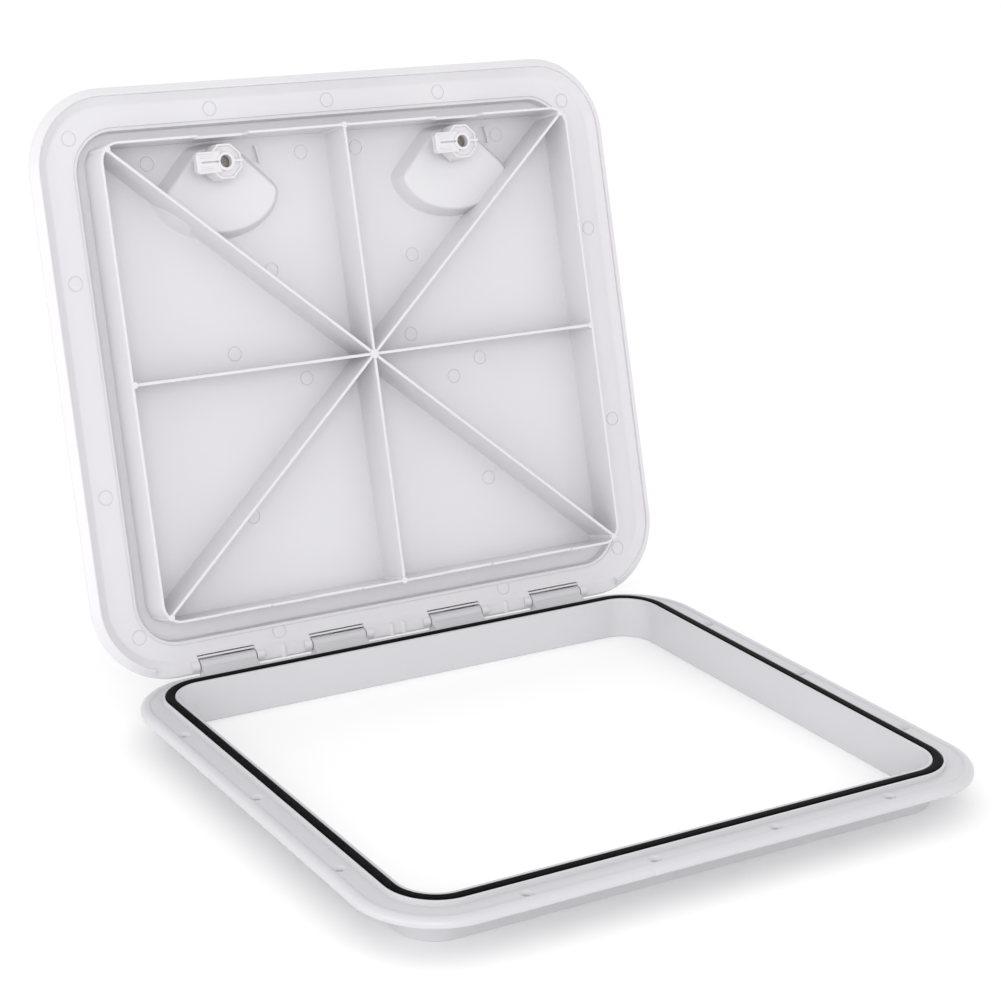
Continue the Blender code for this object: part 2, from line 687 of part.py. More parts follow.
def make_cam(side, axis, finish):
    """Eight-sided hub with a tab that points along -x, ridges on the tab, and a round boss."""
    cut = CAM_HALF * math.tan(math.radians(22.5))
    octagon = [(CAM_HALF, -cut), (CAM_HALF, cut), (cut, CAM_HALF), (-cut, CAM_HALF),
               (-CAM_HALF, cut), (-CAM_HALF, -cut), (-cut, -CAM_HALF), (cut, -CAM_HALF)]
    cam = add_object(f"latch_cam_{side}", prism(octagon, -CAM_FACE, CAM_TOP), finish, axis)
    corner = TAB_HALF - TAB_CHAMFER
    reach = math.sqrt(TAB_REACH**2 - corner**2)
    tab = [(0, -TAB_HALF), (0, TAB_HALF), (TAB_CHAMFER - reach, TAB_HALF), (-reach, corner),
           (-reach, -corner), (TAB_CHAMFER - reach, -TAB_HALF)]
    web_reach = LATCH_BEHIND_SKIRT - SKIRT_THICKNESS - 2.0 * MM
    shapes = [
        prism(tab, -CAM_FACE + 0.3 * MM, -TAB_TOP),
        box((-web_reach, -TAB_HALF + 1.5 * MM, -TAB_TOP - 1.0 * MM), (0, TAB_HALF - 1.5 * MM, -13.0 * MM)),
        rod((0, 0, -CAM_FACE - CAM_BOSS_PROUD), (0, 0, -CAM_FACE + 2.0 * MM), CAM_BOSS_R),
    ]
    for y in (-6.0 * MM, 0, 6.0 * MM):
        shapes.append(box((-reach + 3.0 * MM, y - 0.8 * MM, -CAM_FACE - 0.4 * MM),
                          (-9.0 * MM, y + 0.8 * MM, -CAM_FACE + 1.0 * MM)))
    boolean(cam, f"cam_{side}_additions", shapes, "UNION")
    half = DRIVE_SQUARE / 2 + RUNNING_GAP
    cuts = [
        box((-half, -half, -CAM_SQUARE_END), (half, half, CAM_TOP + 1.0 * MM)),
        rod((0, 0, -CAM_FACE - 2.0 * MM), (0, 0, SCREW_SEAT), CAM_BORE_R),
        rod((0, 0, SCREW_SEAT - 1.0 * MM), (0, 0, -CAM_SQUARE_END + 1.0 * MM), CAM_SCREW_R + RUNNING_GAP,
            sides=SMALL_ROUND),
    ]
    boolean(cam, f"cam_{side}_cuts", cuts, "DIFFERENCE")


def make_cam_screw(side, axis, finish):
    top = SCREW_SEAT - RUNNING_GAP
    screw = add_object(
        f"latch_screw_{side}",
        rod((0, 0, top - CAM_SCREW_HEAD), (0, 0, top), CAM_SCREW_HEAD_R), finish, axis,
    )
    shank = rod((0, 0, top - 0.5 * MM), (0, 0, -CAM_SCREW_END), CAM_SCREW_R, sides=SMALL_ROUND)
    boolean(screw, f"screw_{side}_shank", [shank], "UNION")
    slot = box((-CAM_SCREW_HEAD_R - 1.0 * MM, -0.6 * MM, top - CAM_SCREW_HEAD - 1.0 * MM),
               (CAM_SCREW_HEAD_R + 1.0 * MM, 0.6 * MM, top - CAM_SCREW_HEAD + 1.0 * MM))
    boolean(screw, f"screw_{side}_slot", [slot], "DIFFERENCE")


def make_washer_and_seal(side, place, metal, rubber):
    inner = SPINDLE_R + RUNNING_GAP
    add_object(f"latch_washer_{side}",
               tube(WASHER_END, WASHER_END + WASHER_THICKNESS, inner, WASHER_R), metal, place)
    rings = []
    for step in circle_angles(SMALL_ROUND // 2):
        r = SEAL_RING_R + SEAL_SECTION_R * math.cos(step)
        z = SEAL_Z + SEAL_SECTION_R * math.sin(step)
        rings.append([Vector((r * math.cos(a), r * math.sin(a), z)) for a in circle_angles(ROUND)])
    add_object(f"latch_seal_{side}", loft(rings, True), rubber, place)


def make_handle(side, pivot, finish, metal):
    """A paddle that lies in the dish along +x of its pivot, with a stem between the spindle's ears."""
    low, high = HANDLE_BOTTOM - HANDLE_PIVOT, HANDLE_TOP - HANDLE_PIVOT
    spread = math.asin(HANDLE_HALF / HANDLE_LENGTH)
    outline = [(HANDLE_ROOT, -HANDLE_HALF + 3.0 * MM), (HANDLE_ROOT + 4.0 * MM, -HANDLE_HALF)]
    steps = 8
    for step in range(steps + 1):
        angle = spread * (2 * step / steps - 1)
        end = HANDLE_LENGTH - (2.0 * MM if step in (0, steps) else 0)
        outline.append((end * math.cos(angle), end * math.sin(angle)))
    outline += [(HANDLE_ROOT + 4.0 * MM, HANDLE_HALF), (HANDLE_ROOT, HANDLE_HALF - 3.0 * MM)]
    handle = add_object(f"latch_handle_{side}", prism(outline, low, high), finish, pivot)
    stem_half = HANDLE_STEM_HALF
    stem = [
        rod((0, -stem_half, 0), (0, stem_half, 0), HANDLE_KNUCKLE_R),
        box((0, -stem_half, -1.4 * MM), (HANDLE_ROOT + 2.0 * MM, stem_half, 2.6 * MM)),
    ]
    boolean(handle, f"handle_{side}_stem", stem, "UNION")
    bore = rod((0, -stem_half - 1.0 * MM, 0), (0, stem_half + 1.0 * MM, 0), HANDLE_PIN_R + RUNNING_GAP,
               sides=SMALL_ROUND)
    boolean(handle, f"handle_{side}_bore", [bore], "DIFFERENCE")
    reach = HANDLE_STEM_HALF + RUNNING_GAP + EAR_THICKNESS
    pin = rod((0, -reach, 0), (0, reach, 0), HANDLE_PIN_R, sides=SMALL_ROUND)
    add_object(f"handle_pin_{side}", pin, metal, pivot)


def make_latch(side, x, hinge, plastic, metal, rubber):
    axis = empty(f"latch_axis_{side}", (x, LATCH_Y, 0), hinge)
    pivot = empty(f"handle_axis_{side}", (0, 0, HANDLE_PIVOT), axis, (0, 0, HANDLE_ANGLE))
    make_spindle(side, axis, metal)
    make_cam(side, axis, plastic)
    make_cam_screw(side, axis, metal)
    make_washer_and_seal(side, axis, metal, rubber)
    make_handle(side, pivot, plastic, metal)


def main():
    clear_scene()
    white = material("white_abs", (0.78, 0.78, 0.80), 0.35)
    rubber = material("black_epdm", (0.012, 0.012, 0.012), 0.6)
    steel = material("stainless_steel", (0.55, 0.55, 0.55), 0.3, 1.0)
    hinge = empty("lid_hinge_axis", (0, HINGE_Y, HINGE_Z), None, (-OPEN_ANGLE, 0, 0))
    make_frame(white)
    make_gasket(rubber)
    make_lid(hinge, white)
    make_hinge_pins(hinge, steel)
    for side, x in LATCHES:
        make_latch(side, x, hinge, white, steel, rubber)


main()
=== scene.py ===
# %% [markdown]
# # A moulded deck hatch
# This hatch is a boat fitting: a flanged frame that is screwed down over a cut-out in the deck, a rubber
# gasket in a channel round the opening, and a ribbed lid on four pin hinges. The frame, the lid, the cams
# and the handles are injection moulded in white ABS. The lesson builds each moulding with bmesh operators,
# in millimetres turned to metres, round a fixed frame of simpler CAD solids whose places and joints it
# takes over.

# %% Load the frame
import json
import math

import bmesh
import bpy
from mathutils import Matrix, Vector


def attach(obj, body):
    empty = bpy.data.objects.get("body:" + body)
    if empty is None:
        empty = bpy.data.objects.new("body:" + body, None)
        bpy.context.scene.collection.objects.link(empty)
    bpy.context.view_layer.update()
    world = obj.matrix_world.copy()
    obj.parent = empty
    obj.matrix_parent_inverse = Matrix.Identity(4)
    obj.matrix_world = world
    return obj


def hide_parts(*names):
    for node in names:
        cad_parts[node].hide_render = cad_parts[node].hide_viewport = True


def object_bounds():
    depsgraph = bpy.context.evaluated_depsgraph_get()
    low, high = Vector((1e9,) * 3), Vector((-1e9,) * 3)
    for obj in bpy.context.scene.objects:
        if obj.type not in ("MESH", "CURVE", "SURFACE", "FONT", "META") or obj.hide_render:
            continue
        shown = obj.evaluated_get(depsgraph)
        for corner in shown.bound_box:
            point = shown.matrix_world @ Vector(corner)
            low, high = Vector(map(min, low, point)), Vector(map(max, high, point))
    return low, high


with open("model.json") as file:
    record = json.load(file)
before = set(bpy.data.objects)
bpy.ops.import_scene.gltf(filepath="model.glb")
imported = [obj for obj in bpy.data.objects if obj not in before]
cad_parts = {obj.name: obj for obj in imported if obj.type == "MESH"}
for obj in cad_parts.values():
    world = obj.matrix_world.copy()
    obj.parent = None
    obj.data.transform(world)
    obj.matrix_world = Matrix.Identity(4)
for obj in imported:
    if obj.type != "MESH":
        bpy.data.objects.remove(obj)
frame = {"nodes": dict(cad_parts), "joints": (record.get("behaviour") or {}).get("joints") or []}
cad_low, cad_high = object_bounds()
joints = {joint["name"]: joint for joint in frame["joints"]}
print("CAD box in mm:", [round(1000 * (b - a)) for a, b in zip(cad_low, cad_high)])

# %% [markdown]
# ## The lid's own space
# The lid stands open, leaning back past upright. Every lid piece is easier to model flat, as if the lid
# were shut with its hinge axis through the origin, and then turned open once. The turn and the place come
# from the hinge joint: its range tells how far the lid has to turn to shut.

# %% Sizes that several pieces share
MM = 0.001
hinge = joints["lid_hinge"]
HINGE = Vector(hinge["pos_m"])
OPEN_ANGLE = math.radians(hinge["range_deg"][1])
LID_SPACE = Matrix.Translation(HINGE) @ Matrix.Rotation(-OPEN_ANGLE, 4, "X")
LATCH_X = {side: joints[f"latch_turn_{side}"]["pos_m"][0] for side in ("left", "right")}
latch_spot = LID_SPACE.inverted() @ Vector(joints["latch_turn_right"]["pos_m"])
LATCH_Y = latch_spot.y
hinge_y, hinge_z = HINGE.y / MM, HINGE.z / MM
HINGES_X = (-153.2, -54.8, 54.8, 153.2)
BARREL = 4.9  # radius of the frame's barrels and the lid's knuckles, in mm
PIN_BORE = 2.3  # radius of the bore round each hinge pin
print(f"lid opens by {math.degrees(OPEN_ANGLE):.1f} degrees, latches {-LATCH_Y / MM:.1f} mm from the hinge")

# %% [markdown]
# ## Colours and nodes
# A screen colour such as #E8E8EA is stored on a curve, and shaders want plain amounts of light, so one
# function turns the hex value to linear. A second small function adds a shader node, sets its settings
# and joins its inputs, which keeps each material readable as a short list.


# %% Colour and node helpers
def linear(hex_colour):
    """An sRGB hex value as linear red, green, blue and alpha."""
    channels = [int(hex_colour[i : i + 2], 16) / 255 for i in (1, 3, 5)]
    return (*[c / 12.92 if c <= 0.04045 else ((c + 0.055) / 1.055) ** 2.4 for c in channels], 1)


def add_node(material, kind, settings=None, links=None):
    """Adds one shader node; settings are its own values or its sockets', links join other nodes to it."""
    node = material.node_tree.nodes.new(kind)
    for key, value in (settings or {}).items():
        if key in node.inputs:
            node.inputs[key].default_value = value
        else:
            setattr(node, key, value)
    for socket, source in (links or {}).items():
        material.node_tree.links.new(source, node.inputs[socket])
    return node


def new_material(name):
    """A material with its principled shader, and the object coordinates that every pattern uses."""
    material = bpy.data.materials.new(name)
    material.use_nodes = True
    shader = material.node_tree.nodes["Principled BSDF"]
    place = add_node(material, "ShaderNodeTexCoord").outputs["Object"]
    return material, shader, place


# %% [markdown]
# ## White moulded ABS
# The frame and lid are ABS: an opaque, slightly cool white plastic with a refractive index of 1.54. A
# polished steel mould gives it a soft gloss, about 0.3 in roughness. The frame is the same plastic with a
# greyer colour than the lid's; that grey is painted shade, for the dimmer light its upward flange gets.
# Three things make the plastic look moulded rather than painted: faint, broad flow marks where the melt ran
# along the walls, a very fine grain from the mould's finish, and edges that are never quite sharp. The last
# is done with a Bevel node, which rounds the shading of every edge by a fraction of a millimetre and needs
# no extra faces.


# %% ABS material
EDGE_RADIUS = 0.4 * MM
GLOSS_RANGE = 0.03


def moulded_abs(name, colour, shade, roughness):
    material, shader, place = new_material(name)
    # Melt runs far in one direction: stretched noise, 110 mm across and three times longer along z
    stretch = add_node(material, "ShaderNodeMapping", {"Scale": (9, 9, 3)}, {"Vector": place})
    flow = add_node(material, "ShaderNodeTexNoise", {"Scale": 1.0, "Detail": 1.0},
                    {"Vector": stretch.outputs[0]})
    tint = add_node(material, "ShaderNodeMix", {"data_type": "RGBA"}, {"Factor": flow.outputs["Fac"]})
    tint.inputs["A"].default_value = linear(colour)
    tint.inputs["B"].default_value = linear(shade)
    gloss = add_node(material, "ShaderNodeMapRange",
                     {"From Min": 0.3, "From Max": 0.7,
                      "To Min": roughness - GLOSS_RANGE, "To Max": roughness + GLOSS_RANGE},
                     {"Value": flow.outputs["Fac"]})
    # The mould's grain is about 0.1 mm, which is too fine to show, so it is drawn at about 2.6 mm
    grain = add_node(material, "ShaderNodeTexNoise", {"Scale": 380.0, "Detail": 1.0}, {"Vector": place})
    bump = add_node(material, "ShaderNodeBump", {"Strength": 0.05, "Distance": 0.02 * MM},
                    {"Height": grain.outputs["Fac"]})
    edge = add_node(material, "ShaderNodeBevel", {"samples": 6, "Radius": EDGE_RADIUS})
    material.node_tree.links.new(edge.outputs[0], bump.inputs["Normal"])
    # Walls sink a little where the plastic shrank, so wide faces waver slightly in what they mirror
    sink = add_node(material, "ShaderNodeTexNoise", {"Scale": 22.0, "Detail": 1.0}, {"Vector": place})
    wave = add_node(material, "ShaderNodeBump", {"Strength": 0.12, "Distance": 0.15 * MM},
                    {"Height": sink.outputs["Fac"], "Normal": bump.outputs[0]})
    links = material.node_tree.links
    links.new(tint.outputs["Result"], shader.inputs["Base Color"])
    links.new(gloss.outputs[0], shader.inputs["Roughness"])
    links.new(wave.outputs[0], shader.inputs["Normal"])
    shader.inputs["IOR"].default_value = 1.54
    return material


white_abs = moulded_abs("white_moulded_abs", "#D7D6D9", "#D3D1D5", 0.34)
# The frame's greyer colours are painted shade: the lid's plastic darkened for the dimmer light on the frame
frame_abs_painted_shade = moulded_abs("frame_moulded_abs_painted_shade", "#C9C8CC", "#C5C4C8", 0.30)
print("made", white_abs.name, frame_abs_painted_shade.name)

# %% [markdown]
# ## Rubber and steel
# The gasket is a moulded EPDM rubber ring: nearly black, with a dull sheen and a faint dusty grain. The
# hinge pins are drawn stainless wire, polished along their length. The latch spindles and their screws are
# stainless too, cast and rougher; their dark colour is painted shade, because they sit deep in a bore.


# %% Rubber and steel materials
def black_rubber():
    material, shader, place = new_material("black_epdm_rubber")
    grain = add_node(material, "ShaderNodeTexNoise", {"Scale": 900.0, "Detail": 3.0}, {"Vector": place})
    tint = add_node(material, "ShaderNodeMix", {"data_type": "RGBA"}, {"Factor": grain.outputs["Fac"]})
    tint.inputs["A"].default_value = linear("#050405")
    tint.inputs["B"].default_value = linear("#0B0A0A")
    bump = add_node(material, "ShaderNodeBump", {"Strength": 0.25, "Distance": 0.05 * MM},
                    {"Height": grain.outputs["Fac"]})
    material.node_tree.links.new(tint.outputs["Result"], shader.inputs["Base Color"])
    material.node_tree.links.new(bump.outputs[0], shader.inputs["Normal"])
    shader.inputs["Roughness"].default_value = 0.5
    shader.inputs["Specular IOR Level"].default_value = 0.04
    return material


def stainless_steel(name, colour, roughness, scratch_scale):
    material, shader, place = new_material(name)
    along = add_node(material, "ShaderNodeMapping", {"Scale": scratch_scale}, {"Vector": place})
    brush = add_node(material, "ShaderNodeTexNoise", {"Scale": 1.0, "Detail": 3.0},
                     {"Vector": along.outputs[0]})
    gloss = add_node(material, "ShaderNodeMapRange",
                     {"To Min": roughness - 0.08, "To Max": roughness + 0.1}, {"Value": brush.outputs["Fac"]})
    bump = add_node(material, "ShaderNodeBump", {"Strength": 0.1, "Distance": 0.02 * MM},
                    {"Height": brush.outputs["Fac"]})
    material.node_tree.links.new(gloss.outputs[0], shader.inputs["Roughness"])
    material.node_tree.links.new(bump.outputs[0], shader.inputs["Normal"])
    shader.inputs["Base Color"].default_value = linear(colour)
    shader.inputs["Metallic"].default_value = 1.0
    return material


rubber = black_rubber()
drawn_steel = stainless_steel("drawn_stainless_steel", "#C9C7C3", 0.25, (60, 2500, 2500))
# The cast steel's dark brown colour is painted shade of the bore that the spindles and screws sit in
cast_steel_painted_shade = stainless_steel("cast_stainless_steel_painted_shade", "#8C837C", 0.38, (900, 900, 900))
print("made", rubber.name, drawn_steel.name, cast_steel_painted_shade.name)

# %% [markdown]
# ## Round-cornered outlines and walks
# Nearly every shape here is a rectangle with round corners that steps inwards and up or down: a rim, a
# lip, a channel. A grid of one face gives the rectangle, a vertex bevel rounds its corners, and then
# repeated insets walk the profile. Two walks with the same number of corner segments can be joined with
# bridge_loops, which is how an even rim meets an opening that is not quite in its middle.

# %% Outline and walk helpers
CORNER_SEGMENTS = 20
LEAST_INSET = 1e-6  # in metres: an inset of nothing at all would make no faces
WELD = 1e-6  # in metres: vertices closer than this are one


def outline_face(bm, half_x, y0, y1, radius, z):
    """One face on the round-cornered rectangle at height z, facing up. Sizes are in mm."""
    half_x, y0, y1, radius, z = (size * MM for size in (half_x, y0, y1, radius, z))
    made = bmesh.ops.create_grid(bm, x_segments=1, y_segments=1, size=1)["verts"]
    bmesh.ops.scale(bm, verts=made, vec=(half_x, (y1 - y0) / 2, 1))
    bmesh.ops.translate(bm, verts=made, vec=(0, (y0 + y1) / 2, z))
    bmesh.ops.bevel(bm, geom=made, offset=radius, offset_type="OFFSET", segments=CORNER_SEGMENTS,
                    profile=0.5, affect="VERTICES", material=-1)
    return bm.faces[:][0]


def walk(bm, face, steps):
    """Insets the face once for each (inwards, up) step in mm, and returns it at the end of the profile."""
    for inwards, up in steps:
        bmesh.ops.inset_region(bm, faces=[face], thickness=max(inwards * MM, LEAST_INSET), depth=up * MM,
                               use_boundary=True, use_even_offset=True)
    return face


def profile_ring(half_x, y0, y1, radius, z, steps, up=True, cap=False):
    """A band of faces that follows the profile from one outline, walked upwards or downwards."""
    bm = bmesh.new()
    face = outline_face(bm, half_x, y0, y1, radius, z)
    if not up:
        bmesh.ops.reverse_faces(bm, faces=[face])
    face = walk(bm, face, steps)
    if not cap:
        bmesh.ops.delete(bm, geom=[face], context="FACES_ONLY")
    return bm


def join(shapes):
    """Several bmeshes as one."""
    whole = bmesh.new()
    for shape in shapes:
        mesh = bpy.data.meshes.new("part")
        shape.to_mesh(mesh)
        shape.free()
        whole.from_mesh(mesh)
        bpy.data.meshes.remove(mesh)
    return whole


def open_loops(bm):
    """The open edges, sorted into closed loops."""
    left = {edge for edge in bm.edges if edge.is_boundary}
    loops = []
    while left:
        loop = [left.pop()]
        grown = True
        while grown:
            near = [e for v in loop[-1].verts for e in v.link_edges if e in left]
            grown = bool(near)
            if grown:
                loop.append(near[0])
                left.discard(near[0])
        loops.append(loop)
    return loops


def loop_box(loop):
    points = [v.co for edge in loop for v in edge.verts]
    return max(p.x for p in points), sum(p.z for p in points) / len(points)


def bridge_nearest(bm, pairs):
    """Bridges open loops, each pair named by the half width and height of its two loops, in mm."""
    for pair in pairs:
        loops = open_loops(bm)
        chosen = [
            min(loops, key=lambda lp: math.dist(loop_box(lp), (x * MM, z * MM))) for x, z in pair
        ]
        bmesh.ops.bridge_loops(bm, edges=chosen[0] + chosen[1])


def box(low, high):
    bm = bmesh.new()
    bmesh.ops.create_cube(bm, size=1)
    bmesh.ops.scale(bm, verts=bm.verts, vec=[(b - a) * MM for a, b in zip(low, high)])
    bmesh.ops.translate(bm, verts=bm.verts, vec=[(a + b) / 2 * MM for a, b in zip(low, high)])
    return bm


def rod(start, end, r1, r2=None, sides=32):
    """A round bar or a cone between two points, in mm."""
    start, end = Vector(start) * MM, Vector(end) * MM
    turn = (end - start).to_track_quat("Z", "Y").to_matrix().to_4x4()
    bm = bmesh.new()
    bmesh.ops.create_cone(bm, cap_ends=True, segments=sides, radius1=r1 * MM,
                          radius2=(r1 if r2 is None else r2) * MM, depth=(end - start).length,
                          matrix=Matrix.Translation((start + end) / 2) @ turn)
    return bm


def turned_ring(inner, outer, low, high, steps):
    """A ring round the z axis with a rectangular section, in mm."""
    bm = bmesh.new()
    section = bmesh.ops.create_grid(bm, x_segments=1, y_segments=1, size=0.5 * MM)["verts"]
    bmesh.ops.transform(bm, verts=section, matrix=Matrix.Rotation(math.pi / 2, 4, "X"))
    bmesh.ops.scale(bm, verts=section, vec=(outer - inner, 1, high - low))
    bmesh.ops.translate(bm, verts=section, vec=((inner + outer) / 2 * MM, 0, (low + high) / 2 * MM))
    bmesh.ops.delete(bm, geom=bm.faces[:], context="FACES_ONLY")
    bmesh.ops.spin(bm, geom=bm.verts[:] + bm.edges[:], cent=(0, 0, 0), axis=(0, 0, 1),
                   angle=2 * math.pi, steps=steps, use_merge=True, use_duplicate=False)
    return bm


def moved(bm, matrix):
    bmesh.ops.transform(bm, matrix=matrix, verts=bm.verts)
    return bm


# %% [markdown]
# ## From bmesh to a finished piece
# Holes and bosses are cut and joined with Booleans, whose result is kept as a plain mesh so that
# every piece ends at the origin with its place in its mesh. Faces are shaded smooth, except across edges
# sharper than 30 degrees, and their normals are weighed by area, which keeps wide faces flat. Each piece
# then rides on the body that carries it.


# %% Piece helpers
def as_object(name, bm):
    bmesh.ops.remove_doubles(bm, verts=bm.verts, dist=WELD)
    bmesh.ops.recalc_face_normals(bm, faces=bm.faces)
    if bm.calc_volume(signed=True) < 0:
        bmesh.ops.reverse_faces(bm, faces=bm.faces)
    mesh = bpy.data.meshes.new(name)
    bm.to_mesh(mesh)
    bm.free()
    obj = bpy.data.objects.new(name, mesh)
    bpy.context.scene.collection.objects.link(obj)
    return obj


def combine(obj, shapes, operation):
    """Cuts or joins closed shapes with a Boolean, and keeps the result as the object's mesh."""
    cutters = [as_object("cutter", shape) for shape in shapes]
    for cutter in cutters:
        modifier = obj.modifiers.new("cut", "BOOLEAN")
        modifier.object = cutter
        modifier.operation = operation
        modifier.solver = "MANIFOLD"
    keep_modified(obj)
    for cutter in cutters:
        bpy.data.meshes.remove(cutter.data)


def keep_modified(obj):
    bpy.context.view_layer.update()
    graph = bpy.context.evaluated_depsgraph_get()
    mesh = bpy.data.meshes.new_from_object(obj.evaluated_get(graph))
    obj.modifiers.clear()
    obj.data = mesh


def finish_piece(obj, material, body, nodes, matrix=None, sharp=30):
    """Moves the mesh to its place, shades it and hands it to its body."""
    if matrix:
        obj.data.transform(matrix)
    obj.data.materials.clear()
    obj.data.materials.append(material)
    obj.data.shade_smooth()
    obj.data.set_sharp_from_angle(angle=math.radians(sharp))
    # Weighing normals by area keeps a wide flat face flat where it meets narrow ones
    normals = obj.modifiers.new("face_weighted_normals", "WEIGHTED_NORMAL")
    normals.keep_sharp = True
    normals.weight = 100
    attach(obj, body)
    if nodes:
        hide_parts(*nodes)
    print(f"{obj.name}: {len(obj.data.polygons)} faces")
    return obj


# %% [markdown]
# ## The frame
# The frame is one moulding: a 2.8 mm wall that drops through the deck, a flange with a rolled rim, and two
# thin lips that hold the gasket between them. It is walked in four bands. Two start at the flange's
# widest line, one going up over the rim and one down to the flange's flat underside; two belong to the
# opening, one over the lips and channel and one down and up the wall. Bridges join the bands.


# %% Frame moulding
def arc_steps(inwards, rise, segments):
    """Steps along a rounded edge: a quarter ellipse that starts upright and ends level."""
    angles = [math.radians(90 * i / segments) for i in range(segments + 1)]
    points = [(inwards * (1 - math.cos(a)), rise * math.sin(a)) for a in angles]
    return [(q[0] - p[0], q[1] - p[1]) for p, q in zip(points, points[1:])]


def frame_shell():
    flange = (250, -223.9, 215.3, 59, 2.6)
    rim = profile_ring(*flange, [*arc_steps(5.6, 3.9, 10), (1.2, -0.15), (1.2, -0.95)])
    under = profile_ring(*flange, [(0, 1.6), (0.3, 0.7), (0.7, 0.3)], up=False)
    outer_lip = [(0.25, 3.1), (0.2, 0.5), (0.35, 0.2), (0.9, 0), (0.3, -0.35), (0.0, -3.85)]
    inner_lip = [(7.4, 0), (0.2, 3.75), (0.3, 0.45), (1.0, 0), (0.8, -0.1), (0.6, -0.7)]
    lips = profile_ring(229.4, -204.6, 204.6, 38.9, 5.4, outer_lip + inner_lip)
    wall = profile_ring(219.8, -195, 195, 29.3, 0, [(0, 24.0), (0.4, 0.6), (1.9, 0), (0.5, -0.6)],
                        up=False)
    bm = join([rim, under, lips, wall])
    bmesh.ops.remove_doubles(bm, verts=bm.verts, dist=WELD)
    bridge_nearest(bm, (
        ((242, 5.4), (229.4, 5.4)),
        ((249, 0.0), (219.8, 0.0)),
        ((217.0, 8.4), (217.0, -24.0)),
    ))
    return bm


SCREW_HOLE = 2.6  # radius, for 5 mm screws
SCREW_SINK = 5.8  # radius of the countersink at its top


def flange_screw_cutters():
    """Three countersunk holes along each side of the flange and four along its front."""
    shapes = []
    places = [(side * 237.7, -4.3 + i * 120.5) for side in (-1, 1) for i in (-1, 0, 1)]
    places += [(i * 99.5, -211.6) for i in (-1.5, -0.5, 0.5, 1.5)]
    for x, y in places:
        shapes.append(rod((x, y, -1), (x, y, 7), SCREW_HOLE))
        shapes.append(rod((x, y, 3.2), (x, y, 6.4), SCREW_HOLE, SCREW_SINK))
    return shapes


BARREL_HALF = 23.9  # half the length of a barrel


def barrel_shapes():
    """Four barrels round the hinge axis, each joined to the flange by a lug."""
    shapes = []
    for x in HINGES_X:
        x0, x1 = x - BARREL_HALF, x + BARREL_HALF
        shapes.append(rod((x0, hinge_y, hinge_z), (x1, hinge_y, hinge_z), BARREL, sides=48))
        lug = box((x0, 209.3, 1.5), (x1, hinge_y, hinge_z))
        lip = [v for v in lug.verts if v.co.y < 0.21 and v.co.z > 5 * MM]
        bmesh.ops.translate(lug, verts=lip, vec=(0, 0, -3.4 * MM))
        raised = [v for v in lug.verts if v.co.y > 0.21 and v.co.z > 5 * MM]
        bmesh.ops.translate(lug, verts=raised, vec=(0, -3.2 * MM, 0.4 * MM))
        shapes.append(lug)
    return shapes


def ledge_shapes():
    """The ledges inside the front wall that the latch tabs turn under."""
    return [box((x / MM - 14, -193.6, -7.8), (x / MM + 14, -186.5, -5.2)) for x in LATCH_X.values()]


def pin_bores(half, y, z):
    """A bore for each hinge pin, that reaches half this long to either side."""
    return [rod((x - half, y, z), (x + half, y, z), PIN_BORE) for x in HINGES_X]


frame_piece = as_object("frame_moulding", frame_shell())
combine(frame_piece, barrel_shapes() + ledge_shapes(), "UNION")
combine(frame_piece, flange_screw_cutters() + pin_bores(26, hinge_y, hinge_z), "DIFFERENCE")
finish_piece(frame_piece, frame_abs_painted_shade, "frame", ["frame"])

# %% [markdown]
# ## The gasket
# A rubber ring of about 7 by 4.6 mm sits in the channel and stands just proud of the lips. On a real hatch
# the shut lid presses on it; here nothing is squeezed, and the lid stops just above it. Its top is domed,
# which gives the thin line of light along its edge.


# %% Gasket
def gasket_shell():
    shoulder = arc_steps(1.5, 1.3, 5)
    section = [(0.05, 3.1), *shoulder, (1.95, 0.2), (1.95, -0.2),
               *[(inwards, -rise) for inwards, rise in reversed(shoulder)], (0.05, -3.1)]
    bm = profile_ring(226.9, -202.1, 202.1, 36.4, 5.3, section)
    loops = open_loops(bm)
    bmesh.ops.bridge_loops(bm, edges=loops[0] + loops[1])
    return bm


gasket_piece = as_object("gasket_ring", gasket_shell())
finish_piece(gasket_piece, rubber, "frame", ["gasket"], sharp=50)

# %% [markdown]
# ## The lid's skin
# Seen from below, the lid has a return lip round its edge, a flat rim that meets the gasket, and a raised
# panel behind a small step. From above it is a rim with a rounded edge and a raised panel. It is walked
# from its widest line both ways, and both walks end in a face that stays as the panel.

# %% Lid shell
LID_OUTLINE = (260, -453.6, 5.7, 63.5, 0)
PANEL = 8.7  # height of the panel's underside over the rim's


def lid_shell():
    over = profile_ring(*LID_OUTLINE, [(0, 0.4), *arc_steps(3.2, 2.8, 8)])
    lip_outside = [(0, 1.4), (4.8, 4.2), (0.4, 0.4), (0.3, 0.2), (0.9, 0)]
    lip_inside = [(0.3, -0.3), (0.3, -1.4), (6.0, -4.0), (1.4, -0.45), (0.9, -0.05)]
    lip = profile_ring(*LID_OUTLINE, lip_outside + lip_inside, up=False)
    step = [(0.15, -0.8), (2.55, 0), (0.2, -0.5), (0.8, -7.0), (0.6, -0.4)]
    recess = profile_ring(224.6, -423.0, -18.8, 36.0, 0, step, up=False, cap=True)
    raised = profile_ring(228.4, -425.6, -15.1, 41.9, 3.2,
                          [(0.6, 0.5), (1.6, 6.25), *arc_steps(1.6, 1.4, 6)], cap=True)
    bm = join([over, lip, recess, raised])
    bmesh.ops.remove_doubles(bm, verts=bm.verts, dist=WELD)
    bridge_nearest(bm, (
        ((256.8, 3.2), (228.4, 3.2)),
        ((244.7, 0), (224.6, 0)),
    ))
    return bm


